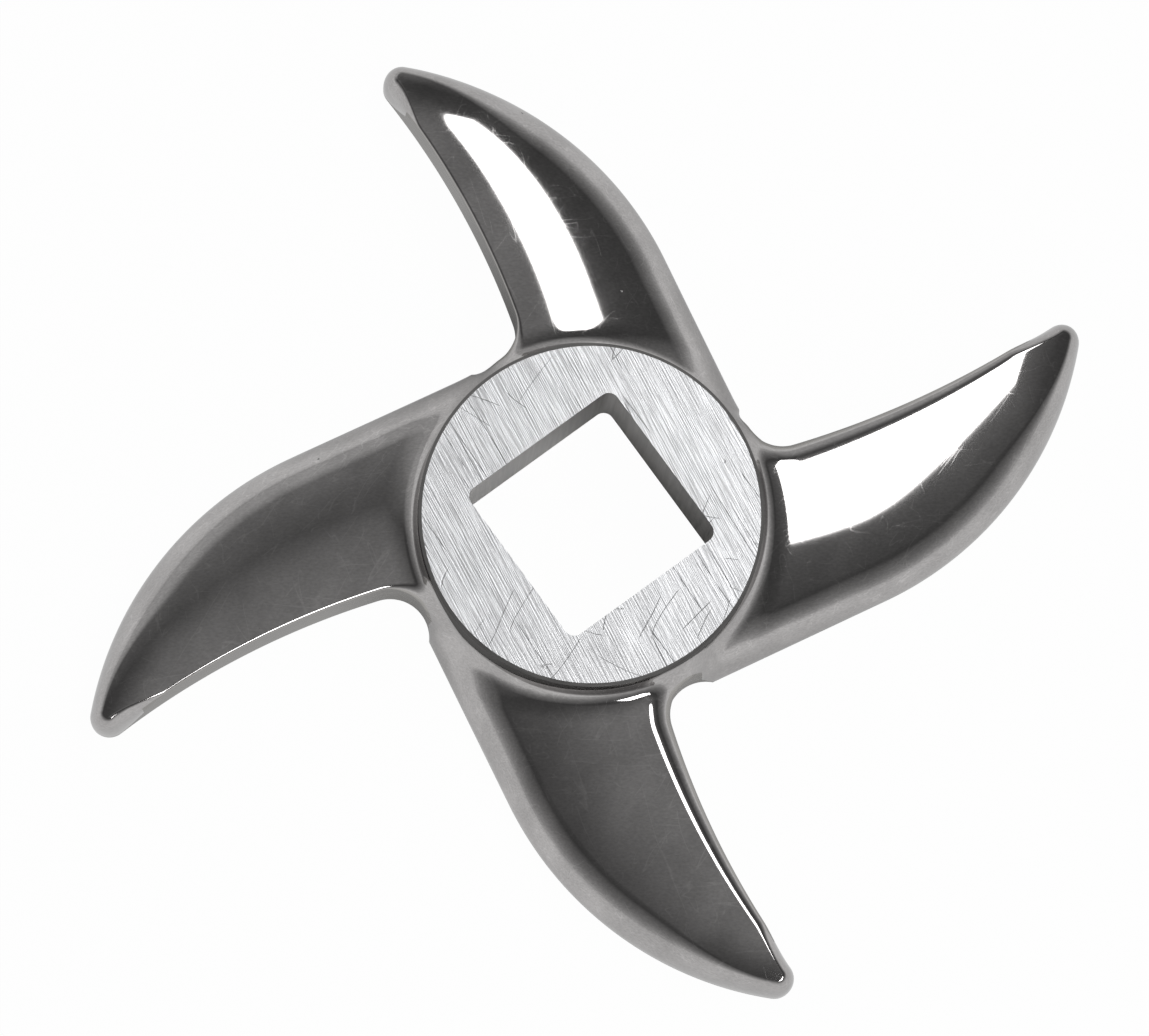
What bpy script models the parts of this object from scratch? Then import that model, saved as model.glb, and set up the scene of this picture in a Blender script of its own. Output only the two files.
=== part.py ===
"""Grinder knife: four scimitar blades swept round a square-drive hub, cast in one piece.

The origin lies on the axis, in the plane of the four cutting edges. +Z points from that plane
to the ground face of the hub, and the sides of the square drive lie along X and Y.
All sizes are in metres and radians.
"""
from collections import namedtuple
from math import atan2, ceil, cos, pi, radians, sin, sqrt, tau

import bmesh
import bpy
from mathutils import Vector
from mathutils.geometry import delaunay_2d_cdt
from mathutils.kdtree import KDTree

# Hub and square drive
HUB_HEIGHT = 0.0110
HUB_FACE_RADIUS = 0.01236
HUB_CHAMFER = 0.00025
HUB_FILLET = 0.0011
SQUARE_SIDE = 0.0132
SQUARE_CORNER = 0.0008

# Blades as seen from above, angles measured from the line through a blade's nose
BLADE_COUNT = 4
BLADE_HEADING = radians(-14.46)
SHORT_LEAD = radians(0.87)
LONG_REACH = 0.03943
SHORT_REACH = 0.03747
NOSE_RADIUS = 0.0014
EDGE_RADIUS = 0.0606
STRAIGHT_EDGE_RADIUS = 0.0714
BACK_RADIUS = 0.0260
FLANK_FACING = radians(-86.5)
FLANK_GAP = 0.00155
GULLET_RADIUS = 0.0029
GULLET_GAP = 0.00114
GULLET_BEARING = radians(8.3)
GULLET_STRAY = radians(1.25)
WIDE_BLADES = (0, 3)
STRAIGHT_BLADE = 0

# Blade section. BEHIND tells a blade from the ones opposite, as a cosine
CREST_ROOT = 0.0074
CREST_TIP = 0.0055
NOSE_DROP = 0.0012
NOSE_SWEEP = 0.0070
BACK_SLOPE = 0.52
NECK_FALL = 150.0
ROOT_RISE = 0.00055
ROOT_SWEEP = 0.0024
CROWN_BLEND = 0.0006
BLEND_LIFT = 0.25
EDGE_ROUND = 0.0017
TIP_ROUND = 0.0005
SHARP_ROUND = 0.0003
NOSE_ROUND = 0.0011
BACK_ROUND = 0.0028
RIM = 0.0004
WALL_MARGIN = 0.00015
BEHIND = -0.2

# Shares of a run over which the rounded edge changes
HEEL_SHARE = 0.34
CORNER_SHARE = 0.12
TAPER_SHARE = 0.50
TIP_SHARE = 0.20

# Ground underside
LAND_WIDTH = 0.0042
SEAT_MARGIN = 0.0012
RELIEF_SLOPE = 0.06

# Facets, and the share of a facet's length that spare points keep clear
ARC_FACET = 0.00045
RUN_FACET = 0.00095
GRID = 0.0012
ROUND_STEPS = 5
FILLET_STEPS = 6
HUB_FACETS = 120
SQUARE_CORNER_FACETS = 4
MERGE = 1e-7
CLEARANCE = 0.55
SHARP_ANGLE = radians(35.0)

STEEL_COLOUR = (0.45, 0.44, 0.43, 1.0)
STEEL_ROUGHNESS = 0.18

HUB_WALL_RADIUS = HUB_FACE_RADIUS + HUB_CHAMFER
HUB_WALL_TOP = HUB_HEIGHT - HUB_CHAMFER
SEAT_RADIUS = HUB_WALL_RADIUS + SEAT_MARGIN
FLANK_OFFSET = HUB_WALL_RADIUS + FLANK_GAP
GULLET_DISTANCE = HUB_WALL_RADIUS + GULLET_GAP + GULLET_RADIUS

Blade = namedtuple("Blade", "heading reach nose edge edge_radius edge_rounds back gullet heel last_gullet")
Station = namedtuple("Station", "point normal inset full")


def polar(radius, angle):
    """Point at a radius and an angle about the origin."""
    return Vector((radius * cos(angle), radius * sin(angle)))


def bearing(vector):
    """Angle of a 2-D vector."""
    return atan2(vector.y, vector.x)


def ease(value):
    """Smooth step from 0 to 1."""
    t = min(max(value, 0.0), 1.0)
    return t * t * (3.0 - 2.0 * t)


def circles_meet(centre_a, radius_a, centre_b, radius_b):
    """Crossing of two circles that lies left of the line from a to b."""
    between = centre_b - centre_a
    gap = between.length
    along = (radius_a ** 2 - radius_b ** 2 + gap ** 2) / (2.0 * gap)
    across = sqrt(max(radius_a ** 2 - along ** 2, 0.0))
    ahead = between / gap
    return centre_a + ahead * along + Vector((-ahead.y, ahead.x)) * across


def blade_heading(index):
    """Bearing of a blade's nose: the shorter pair leads the longer one a little."""
    return BLADE_HEADING + index * tau / BLADE_COUNT + (SHORT_LEAD if index % 2 else 0.0)


def gullet_centre(index):
    """Centre of the gullet ahead of a blade: each was ground by hand, so two lie further ahead."""
    index = index % BLADE_COUNT
    stray = GULLET_STRAY if index in WIDE_BLADES else -GULLET_STRAY
    return polar(GULLET_DISTANCE, blade_heading(index) + GULLET_BEARING + stray)


def back_centre(nose, side):
    """Centre of the back's arc, which runs into the nose and into the straight flank past the hub."""
    across = FLANK_OFFSET - BACK_RADIUS - nose.dot(side)
    along = sqrt(max((BACK_RADIUS - NOSE_RADIUS) ** 2 - across ** 2, 0.0))
    return nose + side * across + Vector((side.y, -side.x)) * along


def make_blade(index):
    """Centres of the arcs that bound one blade, and the corner at its heel."""
    heading = blade_heading(index)
    reach = SHORT_REACH if index % 2 else LONG_REACH
    edge_radius = STRAIGHT_EDGE_RADIUS if index == STRAIGHT_BLADE else EDGE_RADIUS
    edge_rounds = (TIP_ROUND, EDGE_ROUND) if index in WIDE_BLADES else (SHARP_ROUND, SHARP_ROUND)
    side = polar(1.0, heading + FLANK_FACING)
    nose = polar(reach - NOSE_RADIUS, heading)
    back = back_centre(nose, side)
    gullet = gullet_centre(index)
    edge = circles_meet(gullet, edge_radius - GULLET_RADIUS, nose, edge_radius + NOSE_RADIUS)
    last_gullet = gullet_centre(index - 1)
    offset = FLANK_OFFSET - last_gullet.dot(side)
    along = sqrt(max(GULLET_RADIUS ** 2 - offset ** 2, 0.0))
    heel = last_gullet + side * offset + Vector((-side.y, side.x)) * along
    return Blade(heading, reach, nose, edge, edge_radius, edge_rounds, back, gullet, heel, last_gullet)


BLADES = [make_blade(index) for index in range(BLADE_COUNT)]


def edge_distance(blade, point):
    """Distance behind the cutting edge's arc, negative on the gullet's side."""
    return (point - blade.edge).length - blade.edge_radius


def back_distance(blade, point):
    """Distance inside the convex back: an arc, then a straight run to the heel."""
    offset = point - blade.back
    side = polar(1.0, blade.heading + FLANK_FACING)
    if offset.dot(Vector((side.y, -side.x))) > 0.0:
        return BACK_RADIUS - offset.dot(side)
    return BACK_RADIUS - offset.length


def blade_height(blade, point):
    """Height of one blade's crown: a crest at the cutting edge that slopes off to the back and the nose."""
    radius = point.length
    if point.dot(polar(1.0, blade.heading)) < BEHIND * radius:
        return 0.0
    share = (radius - HUB_WALL_RADIUS) / (LONG_REACH - HUB_WALL_RADIUS)
    beyond = max(radius - blade.reach + NOSE_SWEEP, 0.0) / NOSE_SWEEP
    crest = CREST_ROOT + (CREST_TIP - CREST_ROOT) * share - NOSE_DROP * beyond ** 2
    ahead = edge_distance(blade, point)
    if ahead < 0.0:
        return max(crest - NECK_FALL * ahead ** 2, 0.0)
    width = max(ahead + back_distance(blade, point), NOSE_RADIUS)
    return max(crest - 0.5 * BACK_SLOPE * ahead ** 2 / width, 0.0)


def smooth_max(a, b, blend):
    """Larger of two heights, with the crease between them rounded."""
    overlap = max(blend - abs(a - b), 0.0) / blend
    return max(a, b) + BLEND_LIFT * blend * overlap ** 2


def hub_lift(distance):
    """Rise towards the hub's wall: a shallow sweep over the blades' roots, then a concave fillet."""
    sweep = max(1.0 - distance / ROOT_SWEEP, 0.0)
    inside = max(HUB_FILLET - distance, 0.0)
    return ROOT_RISE * sweep ** 2 + HUB_FILLET - sqrt(max(HUB_FILLET ** 2 - inside ** 2, 0.0))


def top_height(point):
    """Height of the polished top: the blades' crowns, lifted towards the hub's wall."""
    height = 0.0
    for blade in BLADES:
        height = smooth_max(height, blade_height(blade, point), CROWN_BLEND)
    return height + hub_lift(point.length - HUB_WALL_RADIUS)


def land_depth(point):
    """Distance behind the cutting edge of the blade that holds a point, or 0 off the blades."""
    for blade in BLADES:
        if point.dot(polar(1.0, blade.heading)) > BEHIND * point.length:
            if edge_distance(blade, point) > 0.0 and back_distance(blade, point) > -RIM:
                return edge_distance(blade, point)
    return 0.0


def under_height(point):
    """Height of the underside: flat lands and hub seat, with a shallow relief behind them."""
    beyond_seat = point.length - SEAT_RADIUS
    return RELIEF_SLOPE * max(min(land_depth(point) - LAND_WIDTH, beyond_seat), 0.0)


def unwind(angle, reference):
    """The same angle, within half a turn of a reference."""
    return angle - tau * round((angle - reference) / tau)


def arc_run(centre, radius, start, end, facet, outward):
    """Shares, points and normals along an arc, without its last point."""
    count = max(3, ceil(abs(end - start) * radius / facet))
    run = []
    for step in range(count):
        angle = start + (end - start) * step / count
        run.append((step / count, centre + polar(radius, angle), polar(outward, angle)))
    return run


def heel_run(blade):
    """The straight run from the heel to the back's arc, without its last point."""
    side = blade.heading + FLANK_FACING
    end = blade.back + polar(BACK_RADIUS, side)
    count = max(3, ceil((end - blade.heel).length / RUN_FACET))
    return [(step / count, blade.heel.lerp(end, step / count), polar(1.0, side)) for step in range(count)]


def blade_runs(blade, following):
    """The five runs of a blade's outline, counter-clockwise from its heel to the next heel."""
    back_start = blade.heading + FLANK_FACING
    back_end = unwind(bearing(blade.nose - blade.back), back_start)
    nose_end = unwind(bearing(blade.edge - blade.nose), back_end + pi / 2)
    edge_start = bearing(blade.nose - blade.edge)
    edge_end = unwind(bearing(blade.gullet - blade.edge), edge_start)
    gullet_end = unwind(bearing(following.heel - blade.gullet), edge_end - pi / 2)
    return {
        "heel": heel_run(blade),
        "back": arc_run(blade.back, BACK_RADIUS, back_start, back_end, RUN_FACET, 1.0),
        "nose": arc_run(blade.nose, NOSE_RADIUS, back_end, nose_end, ARC_FACET, 1.0),
        "edge": arc_run(blade.edge, blade.edge_radius, edge_start, edge_end, RUN_FACET, -1.0),
        "gullet": arc_run(blade.gullet, GULLET_RADIUS, edge_end, gullet_end, ARC_FACET, -1.0),
    }


def mix(a, b, share):
    """Value between a and b."""
    return a + (b - a) * share


def rounding(blade, name, share):
    """Width of the rounded edge at a place on a run, and how far down the wall it reaches."""
    if name == "heel":
        return mix(EDGE_ROUND, BACK_ROUND, ease(share / HEEL_SHARE)), 1.0
    if name == "back":
        return mix(NOSE_ROUND, BACK_ROUND, ease((1.0 - share) / TAPER_SHARE)), 1.0
    if name == "nose":
        return NOSE_ROUND, 1.0
    if name == "edge":
        fade = ease(1.0 - share / TIP_SHARE)
        return mix(mix(*blade.edge_rounds, share), NOSE_ROUND, fade), fade
    return mix(blade.edge_rounds[1], EDGE_ROUND, ease(share)), ease(1.0 - (1.0 - share) / HEEL_SHARE)


def wall_distance(point, normal):
    """How far a point lies from the hub's wall, straight in from the outline."""
    along = point.dot(normal)
    across = point.length_squared - along ** 2
    if across >= HUB_WALL_RADIUS ** 2:
        return LONG_REACH
    return along - sqrt(HUB_WALL_RADIUS ** 2 - across)


def turned(vector, angle):
    """A 2-D vector turned by an angle."""
    return Vector((vector.x * cos(angle) - vector.y * sin(angle), vector.x * sin(angle) + vector.y * cos(angle)))


def blade_stations(blade, following):
    """Outline stations of one blade, their normals eased across the corner at each heel."""
    runs = blade_runs(blade, following)
    corner = unwind(bearing(runs["heel"][0][2]) - bearing(blade.last_gullet - blade.heel), 0.0)
    stations = []
    for name, run in runs.items():
        for share, point, normal in run:
            if name == "heel":
                normal = turned(normal, -0.5 * corner * max(1.0 - share / CORNER_SHARE, 0.0) ** 2)
            if name == "gullet":
                normal = turned(normal, 0.5 * corner * max(1.0 - (1.0 - share) / HEEL_SHARE, 0.0) ** 2)
            width, full = rounding(blade, name, share)
            inset = min(width, wall_distance(point, normal) - WALL_MARGIN)
            stations.append(Station(point, normal, inset, full))
    return stations


def knife_stations():
    """The whole outline, counter-clockwise."""
    stations = []
    for index, blade in enumerate(BLADES):
        stations += blade_stations(blade, BLADES[(index + 1) % BLADE_COUNT])
    return stations


def edge_ring(stations, angle):
    """One loop of the rounded edge, from 0 at the wall's top to a quarter turn at the crown."""
    ring = []
    for station in stations:
        point = station.point - station.normal * station.inset * (1.0 - cos(angle))
        foot = under_height(station.point) + RIM
        reach = mix(station.inset, top_height(station.point) - foot, station.full)
        ring.append((point.x, point.y, top_height(point) - reach * (1.0 - sin(angle))))
    return ring


def circle(radius, count):
    """Plan points of a circle about the axis."""
    return [polar(radius, tau * step / count) for step in range(count)]


def square_loop():
    """Plan points of the square drive, with rounded corners."""
    points = []
    inner = 0.5 * SQUARE_SIDE - SQUARE_CORNER
    for corner in range(4):
        centre = polar(inner * sqrt(2.0), pi / 4 + corner * pi / 2)
        for step in range(SQUARE_CORNER_FACETS + 1):
            points.append(centre + polar(SQUARE_CORNER, (corner + step / SQUARE_CORNER_FACETS) * pi / 2))
    return points


def raised(points, height):
    """Plan points lifted to a height, given as a number or a function of the point."""
    return [(p.x, p.y, height(p) if callable(height) else height) for p in points]


class Skin:
    """Vertices and faces of the solid as it is put together, loop by loop."""

    def __init__(self):
        self.points = []
        self.faces = []

    def loop(self, points):
        """Add a loop of points and give its indices."""
        first = len(self.points)
        self.points += points
        return list(range(first, len(self.points)))

    def strip(self, lower, upper):
        """Join two loops of equal length by a band of quads."""
        for index in range(len(lower)):
            after = (index + 1) % len(lower)
            self.faces.append((lower[index], lower[after], upper[after], upper[index]))

    def fill(self, outer, hole, spare, facing):
        """Triangulate between an outer loop and a hole, through spare points."""
        indices = outer + hole + spare
        plan = [Vector(self.points[index][:2]) for index in indices]
        rim = len(outer)
        edges = [(k, (k + 1) % rim) for k in range(rim)]
        edges += [(rim + k, rim + (k + 1) % len(hole)) for k in range(len(hole))]
        triangles = delaunay_2d_cdt(plan, edges, [], 1, MERGE)[2]
        inside = range(rim, rim + len(hole))
        for triangle in triangles:
            if not all(corner in inside for corner in triangle):
                self.faces.append(tuple(indices[corner] for corner in triangle[::facing]))


def fillet_points():
    """Plan points of the circles that follow the hub's fillet."""
    points = []
    for step in range(1, FILLET_STEPS + 1):
        radius = HUB_WALL_RADIUS + HUB_FILLET * (1.0 - cos(step / FILLET_STEPS * pi / 2))
        points += circle(radius, HUB_FACETS)
    return points


def grid_points():
    """Plan points of a staggered grid over the blades, beyond the hub's fillet."""
    points = []
    rows = ceil(LONG_REACH / GRID)
    for row in range(-rows, rows + 1):
        for column in range(-rows, rows + 1):
            point = Vector(((column + 0.5 * (row % 2)) * GRID, row * GRID * sqrt(0.75)))
            if point.length > HUB_WALL_RADIUS + HUB_FILLET + CLEARANCE * GRID:
                points.append(point)
    return points


def inside_loop(point, loop):
    """Whether a plan point lies inside a closed loop."""
    inside = False
    for a, b in zip(loop, loop[1:] + loop[:1]):
        if (a.y > point.y) != (b.y > point.y):
            if point.x < a.x + (point.y - a.y) / (b.y - a.y) * (b.x - a.x):
                inside = not inside
    return inside


def clear_points(points, loop, clearance):
    """The points inside a loop that keep a clearance to its corners."""
    tree = KDTree(len(loop))
    for index, corner in enumerate(loop):
        tree.insert((corner.x, corner.y, 0.0), index)
    tree.balance()
    kept = []
    for point in points:
        if tree.find((point.x, point.y, 0.0))[2] > clearance and inside_loop(point, loop):
            kept.append(point)
    return kept


def land_points():
    """Plan points along the back of each cutting land, and round the hub's seat."""
    points = circle(SEAT_RADIUS, HUB_FACETS)
    for blade in BLADES:
        start = bearing(blade.gullet - blade.edge)
        end = unwind(bearing(blade.nose - blade.edge), start)
        run = arc_run(blade.edge, blade.edge_radius + LAND_WIDTH, start, end, RUN_FACET, 1.0)
        points += [point for share, point, normal in run if point.length > SEAT_RADIUS + CLEARANCE * RUN_FACET]
    return points


def build_top(skin, stations, wall_top):
    """Rounded edges, crowned blades and fillet, out to the hub wall's foot."""
    rim = wall_top
    for step in range(1, ROUND_STEPS + 1):
        ring = skin.loop(edge_ring(stations, step / ROUND_STEPS * pi / 2))
        skin.strip(rim, ring)
        rim = ring
    border = [Vector(skin.points[index][:2]) for index in rim]
    foot = skin.loop(raised(circle(HUB_WALL_RADIUS, HUB_FACETS), top_height))
    inner = clear_points(fillet_points(), border, CLEARANCE * ARC_FACET)
    inner += clear_points(grid_points(), border, CLEARANCE * GRID)
    spare = skin.loop(raised(inner, top_height))
    skin.fill(rim, foot, spare, 1)
    return foot


def build_hub(skin, foot):
    """Hub wall, its chamfer, and the ground face round the square."""
    wall_top = skin.loop(raised(circle(HUB_WALL_RADIUS, HUB_FACETS), HUB_WALL_TOP))
    face_rim = skin.loop(raised(circle(HUB_FACE_RADIUS, HUB_FACETS), HUB_HEIGHT))
    skin.strip(foot, wall_top)
    skin.strip(wall_top, face_rim)
    square_top = skin.loop(raised(square_loop(), HUB_HEIGHT))
    skin.fill(face_rim, square_top, [], 1)
    return square_top


def build_underside(skin, stations, square_top):
    """Ground lands, relief and hub seat, and the walls of the square."""
    outline = [station.point for station in stations]
    rim = skin.loop(raised(outline, under_height))
    square_foot = skin.loop(raised(square_loop(), 0.0))
    spare = skin.loop(raised(clear_points(land_points(), outline, CLEARANCE * ARC_FACET), under_height))
    skin.fill(rim, square_foot, spare, -1)
    skin.strip(square_top, square_foot)
    return rim


def make_steel():
    """Polished stainless steel."""
    steel = bpy.data.materials.new("polished_steel")
    steel.use_nodes = True
    shader = steel.node_tree.nodes["Principled BSDF"]
    shader.inputs["Base Color"].default_value = STEEL_COLOUR
    shader.inputs["Metallic"].default_value = 1.0
    shader.inputs["Roughness"].default_value = STEEL_ROUGHNESS
    return steel


def make_knife():
    """The knife as one closed solid."""
    stations = knife_stations()
    skin = Skin()
    wall_top = skin.loop(edge_ring(stations, 0.0))
    foot = build_top(skin, stations, wall_top)
    square_top = build_hub(skin, foot)
    rim = build_underside(skin, stations, square_top)
    skin.strip(rim, wall_top)
    mesh = bpy.data.meshes.new("knife")
    mesh.from_pydata(skin.points, [], skin.faces)
    work = bmesh.new()
    work.from_mesh(mesh)
    bmesh.ops.recalc_face_normals(work, faces=work.faces)
    work.to_mesh(mesh)
    work.free()
    mesh.shade_smooth()
    mesh.set_sharp_from_angle(angle=SHARP_ANGLE)
    mesh.materials.append(make_steel())
    knife = bpy.data.objects.new("knife", mesh)
    bpy.context.scene.collection.objects.link(knife)
    return knife


def main():
    """Clear the scene and build the knife."""
    for item in list(bpy.data.objects):
        bpy.data.objects.remove(item, do_unlink=True)
    make_knife()


main()
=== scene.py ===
"""Looks of the grinder knife: one fine mesh of polished and ground steel, floor, light and camera.

The fine mesh follows the same lines, arcs and height functions as the solid that it stands for.
Plan points, written p, are complex numbers, x + iy. All sizes are in metres and radians, but
for the lights' tilts, spreads and turn, the bearings in the picture and the sky's angles, which are
in degrees.
"""
from collections import namedtuple
from functools import reduce
from math import ceil, cos, pi, radians, sin, sqrt, tan, tau

import bmesh
import bpy
import numpy as np
from mathutils import Matrix, Vector
from mathutils.geometry import delaunay_2d_cdt


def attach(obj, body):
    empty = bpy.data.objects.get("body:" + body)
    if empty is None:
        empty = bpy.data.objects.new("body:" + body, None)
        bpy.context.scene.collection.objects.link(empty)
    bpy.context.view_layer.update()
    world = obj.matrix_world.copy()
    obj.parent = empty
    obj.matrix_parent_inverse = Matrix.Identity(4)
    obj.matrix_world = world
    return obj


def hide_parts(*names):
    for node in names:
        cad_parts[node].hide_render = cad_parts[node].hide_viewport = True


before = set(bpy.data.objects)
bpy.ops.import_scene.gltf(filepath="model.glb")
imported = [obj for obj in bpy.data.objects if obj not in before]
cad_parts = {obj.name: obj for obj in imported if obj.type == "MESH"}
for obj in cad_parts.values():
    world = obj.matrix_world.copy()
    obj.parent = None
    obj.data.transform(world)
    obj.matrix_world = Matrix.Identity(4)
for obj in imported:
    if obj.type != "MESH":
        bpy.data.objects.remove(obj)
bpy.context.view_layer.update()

Blade = namedtuple(
    "Blade", "heading reach nose edge edge_radius edge_rounds back gullet heel last_gullet")
Streaks = namedtuple("Streaks", "angle width length detail seed")
Hairlines = namedtuple("Hairlines", "angle seed width length fineness rarity")
LinedSteel = namedtuple("LinedSteel", "name colour roughness edge_tint cells tone")

# Hub and square drive
HUB_HEIGHT = 0.0110
HUB_FACE_RADIUS = 0.01236
HUB_CHAMFER = 0.00025
HUB_FILLET = 0.0011
SQUARE_SIDE = 0.0132
SQUARE_CORNER = 0.0008

# Blades as seen from above: the nose at its reach on a heading, the arcs of the cutting edge and
# the back, the straight flank's facing and its gap to the hub's wall, and the gullets' places
BLADE_COUNT = 4
BLADE_HEADING = radians(-14.46)
SHORT_LEAD = radians(0.87)
LONG_REACH = 0.03943
SHORT_REACH = 0.03747
NOSE_RADIUS = 0.0014
EDGE_RADIUS = 0.0606
STRAIGHT_EDGE_RADIUS = 0.0714
BACK_RADIUS = 0.0260
FLANK_FACING = radians(-86.5)
FLANK_GAP = 0.00155
GULLET_RADIUS = 0.0029
GULLET_GAP = 0.00114
GULLET_BEARING = radians(8.3)
GULLET_STRAY = radians(1.25)
WIDE_BLADES = (0, 3)
STRAIGHT_BLADE = 0

# Crown: heights of its crest, the drop over the sweep before the nose, its slope at the back, its
# fall ahead of the edge's arc (per metre), and the cosine below which a point is behind the blade
CREST_ROOT = 0.0074
CREST_TIP = 0.0055
NOSE_DROP = 0.0008
NOSE_SWEEP = 0.0062
BACK_SLOPE = 0.52
NECK_FALL = 150.0
BEHIND = -0.2

# Rise of the crowns at the hub's wall, and the blend of two crowns
ROOT_RISE = 0.00055
ROOT_SWEEP = 0.0024
CROWN_BLEND = 0.0006
BLEND_LIFT = 0.25

# Widths of the rounded edge, the rim left under it, and the least gap from it to the hub's wall
EDGE_ROUND = 0.0018
TIP_ROUND = 0.0006
SHARP_ROUND = 0.0003
NOSE_ROUND = 0.0011
BACK_ROUND = 0.0028
RIM = 0.0004
WALL_MARGIN = 0.00015

# Shares of a run over which the rounded edge changes
HEEL_SHARE = 0.34
CORNER_SHARE = 0.12
TAPER_SHARE = 0.50
TIP_SHARE = 0.20

# Ground underside: width of the lands, the seat's margin round the hub, slope of the relief
LAND_WIDTH = 0.0042
SEAT_MARGIN = 0.0012
RELIEF_SLOPE = 0.06

# Facets of the fine mesh, how far its inner points keep from its outline, and the distances at
# which points merge and over which slopes are measured
ARC_FACET = 0.00016
RUN_FACET = 0.00028
GRID = 0.00024
UNDER_GRID = 0.0008
ROW_SPACING = sqrt(0.75)
LEAST_FACETS = 3
ROUND_STEPS = 12
FILLET_STEPS = 12
HUB_FACETS = 360
SQUARE_CORNER_FACETS = 8
LOOP_CLEARANCE = 0.5 * ARC_FACET
GRID_CLEARANCE = 0.6 * GRID
MERGE = 1e-8
PROBE = 2e-6
SHARP_ANGLE = radians(20.0)

HUB_WALL_RADIUS = HUB_FACE_RADIUS + HUB_CHAMFER
HUB_WALL_TOP = HUB_HEIGHT - HUB_CHAMFER
SEAT_RADIUS = HUB_WALL_RADIUS + SEAT_MARGIN
FLANK_OFFSET = HUB_WALL_RADIUS + FLANK_GAP
GULLET_DISTANCE = HUB_WALL_RADIUS + GULLET_GAP + GULLET_RADIUS
GRID_START = HUB_WALL_RADIUS + HUB_FILLET + 0.5 * GRID
UNDER_GRID_START = SEAT_RADIUS + 0.5 * UNDER_GRID
LAND_START = SEAT_RADIUS + 0.5 * RUN_FACET

# Satin of the cutting faces: how far it climbs the rounded edge, and the share of the wall that the
# rounding may take there
SATIN_ANGLE = radians(40.0)
SATIN_SHARE = 0.5

# The photograph's view: picture size, scale and turn of the part in it, and the camera's lean
PICTURE = (1149, 1036)
PIXELS_PER_METRE = 13438.0
CAMERA_DISTANCE = 0.504
PICTURE_TURN = radians(36.17)
LEAN = radians(7.0)
LEAN_BEARING = radians(75.7)
AXIS_PIXEL = (586.7, 531.6)
SENSOR_MILLIMETRES = 36.0
CLIP_RANGE = (0.01, 50.0)

# Brightness of the sky by angle from straight up
SKY = (
    (90.0, 0.36), (80.0, 0.23), (72.0, 0.17), (64.0, 0.125), (56.0, 0.065), (47.0, 0.075),
    (38.0, 0.115), (30.0, 0.165), (22.0, 0.21), (12.0, 0.235), (0.0, 0.23),
)

# Paler side of the sky: its bearing in the picture, the cosines to that bearing over which it
# grows, its level, its share at the horizon, and the height (a sine) from which it is whole
PALE_BEARING = 120.0
PALE_RANGE = (0.62, 0.97)
PALE_LEVEL = 0.24
PALE_HORIZON = 0.35
PALE_FADE = 0.25

# Floor: its colour, and how far it glows white to the camera
FLOOR_COLOUR = (0.76, 0.76, 0.76)
FLOOR_ROUGHNESS = 0.9
FLOOR_GLOW = 0.98
FLOOR_HALF_SIDE = 3.0
FLOOR_GAP = 0.00002

# Floor as the steel mirrors it, with painted light: its glow near and far, brighter near the axis,
# the distances from the axis between the two, and the distances over which the painted glow covers
# the knife's real shade, sooner towards a picture bearing
PAINTED_SHEET_GLOW = (0.68, 0.42)
PAINTED_SHEET_RANGE = (0.035, 0.085)
SHADE_TO_GLOW_RANGE = (0.013, 0.027)
PAINTED_GLOW_BEARING = 250.0
PAINTED_GLOW_SHARE = 0.5

# Softbox and low light, placed as the polished crowns mirror them: tilts from straight up towards
# the picture's right and up, distance, half spread each way, turn and radiance
BOX_TILT = (20.9, 10.2)
BOX_DISTANCE = 0.30
BOX_SPREAD = (9.2, 31.6)
BOX_ROLL = 3.4
BOX_RADIANCE = 4.0
LOW_TILT = (14.0, -54.5)
LOW_DISTANCE = 0.35
LOW_SPREAD = (7.5, 8.0)
LOW_RADIANCE = 8.0

# Rounded corners of the softbox: the power of its two coordinates, from -0.5 to 0.5, and the sums
# of these powers between which the light fades out
CORNER_POWER = 4.0
CORNER_RANGE = (0.058, 0.066)

# Values between which noise mostly lies, for each tone that doesn't start with a range of its own,
# the middle of it, and the fade of a patch of hairlines
NOISE_RANGE = (0.3, 0.7)
NOISE_MIDDLE = 0.5
PATCH_FADE = 0.03

# Polished steel: a range of roughness runs from its smooth to its rough places
POLISHED_COLOUR = (0.56, 0.545, 0.54)
POLISHED_ROUGHNESS = (0.062, 0.074)
POLISHED_EDGE_TINT = 0.85
POLISHED_DEPTH = 0.0000012
BLOTCHES = Streaks(radians(20.0), 0.003, 0.005, 3.0, 1.0)
BLOTCH_TONE = (0.25, 0.75, 0.86, 1.14)
BLOTCH_RELIEF = 0.3
GRAIN = Streaks(radians(20.0), 0.00018, 0.00022, 2.0, 2.0)
GRAIN_RELIEF = 0.12
SPECKLE = Streaks(radians(-35.0), 0.00016, 0.0003, 3.0, 4.0)
SPECKLE_TONE = (0.90, 1.10)
HAIRLINES = (
    Hairlines(radians(20.0), 5.0, 0.0008, 0.006, 0.025, 0.60),
    Hairlines(radians(-35.0), 8.0, 0.0008, 0.006, 0.025, 0.60),
    Hairlines(radians(75.0), 11.0, 0.0008, 0.006, 0.025, 0.60),
)
HAIRLINE_ROUGHNESS = 0.15
HAIRLINE_TONE = 0.18
HAIRLINE_RELIEF = 0.1

# Pits in the polished steel: spacing and size, the share of places that have one, their soft rim as
# a share of the spacing, their roughness and tone
PIT_SPACING = 0.0011
PIT_SIZE = 0.00012
PIT_SHARE = 0.05
PIT_RIM = 0.02
PIT_ROUGHNESS = 0.5
PIT_TONE = 0.45

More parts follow.
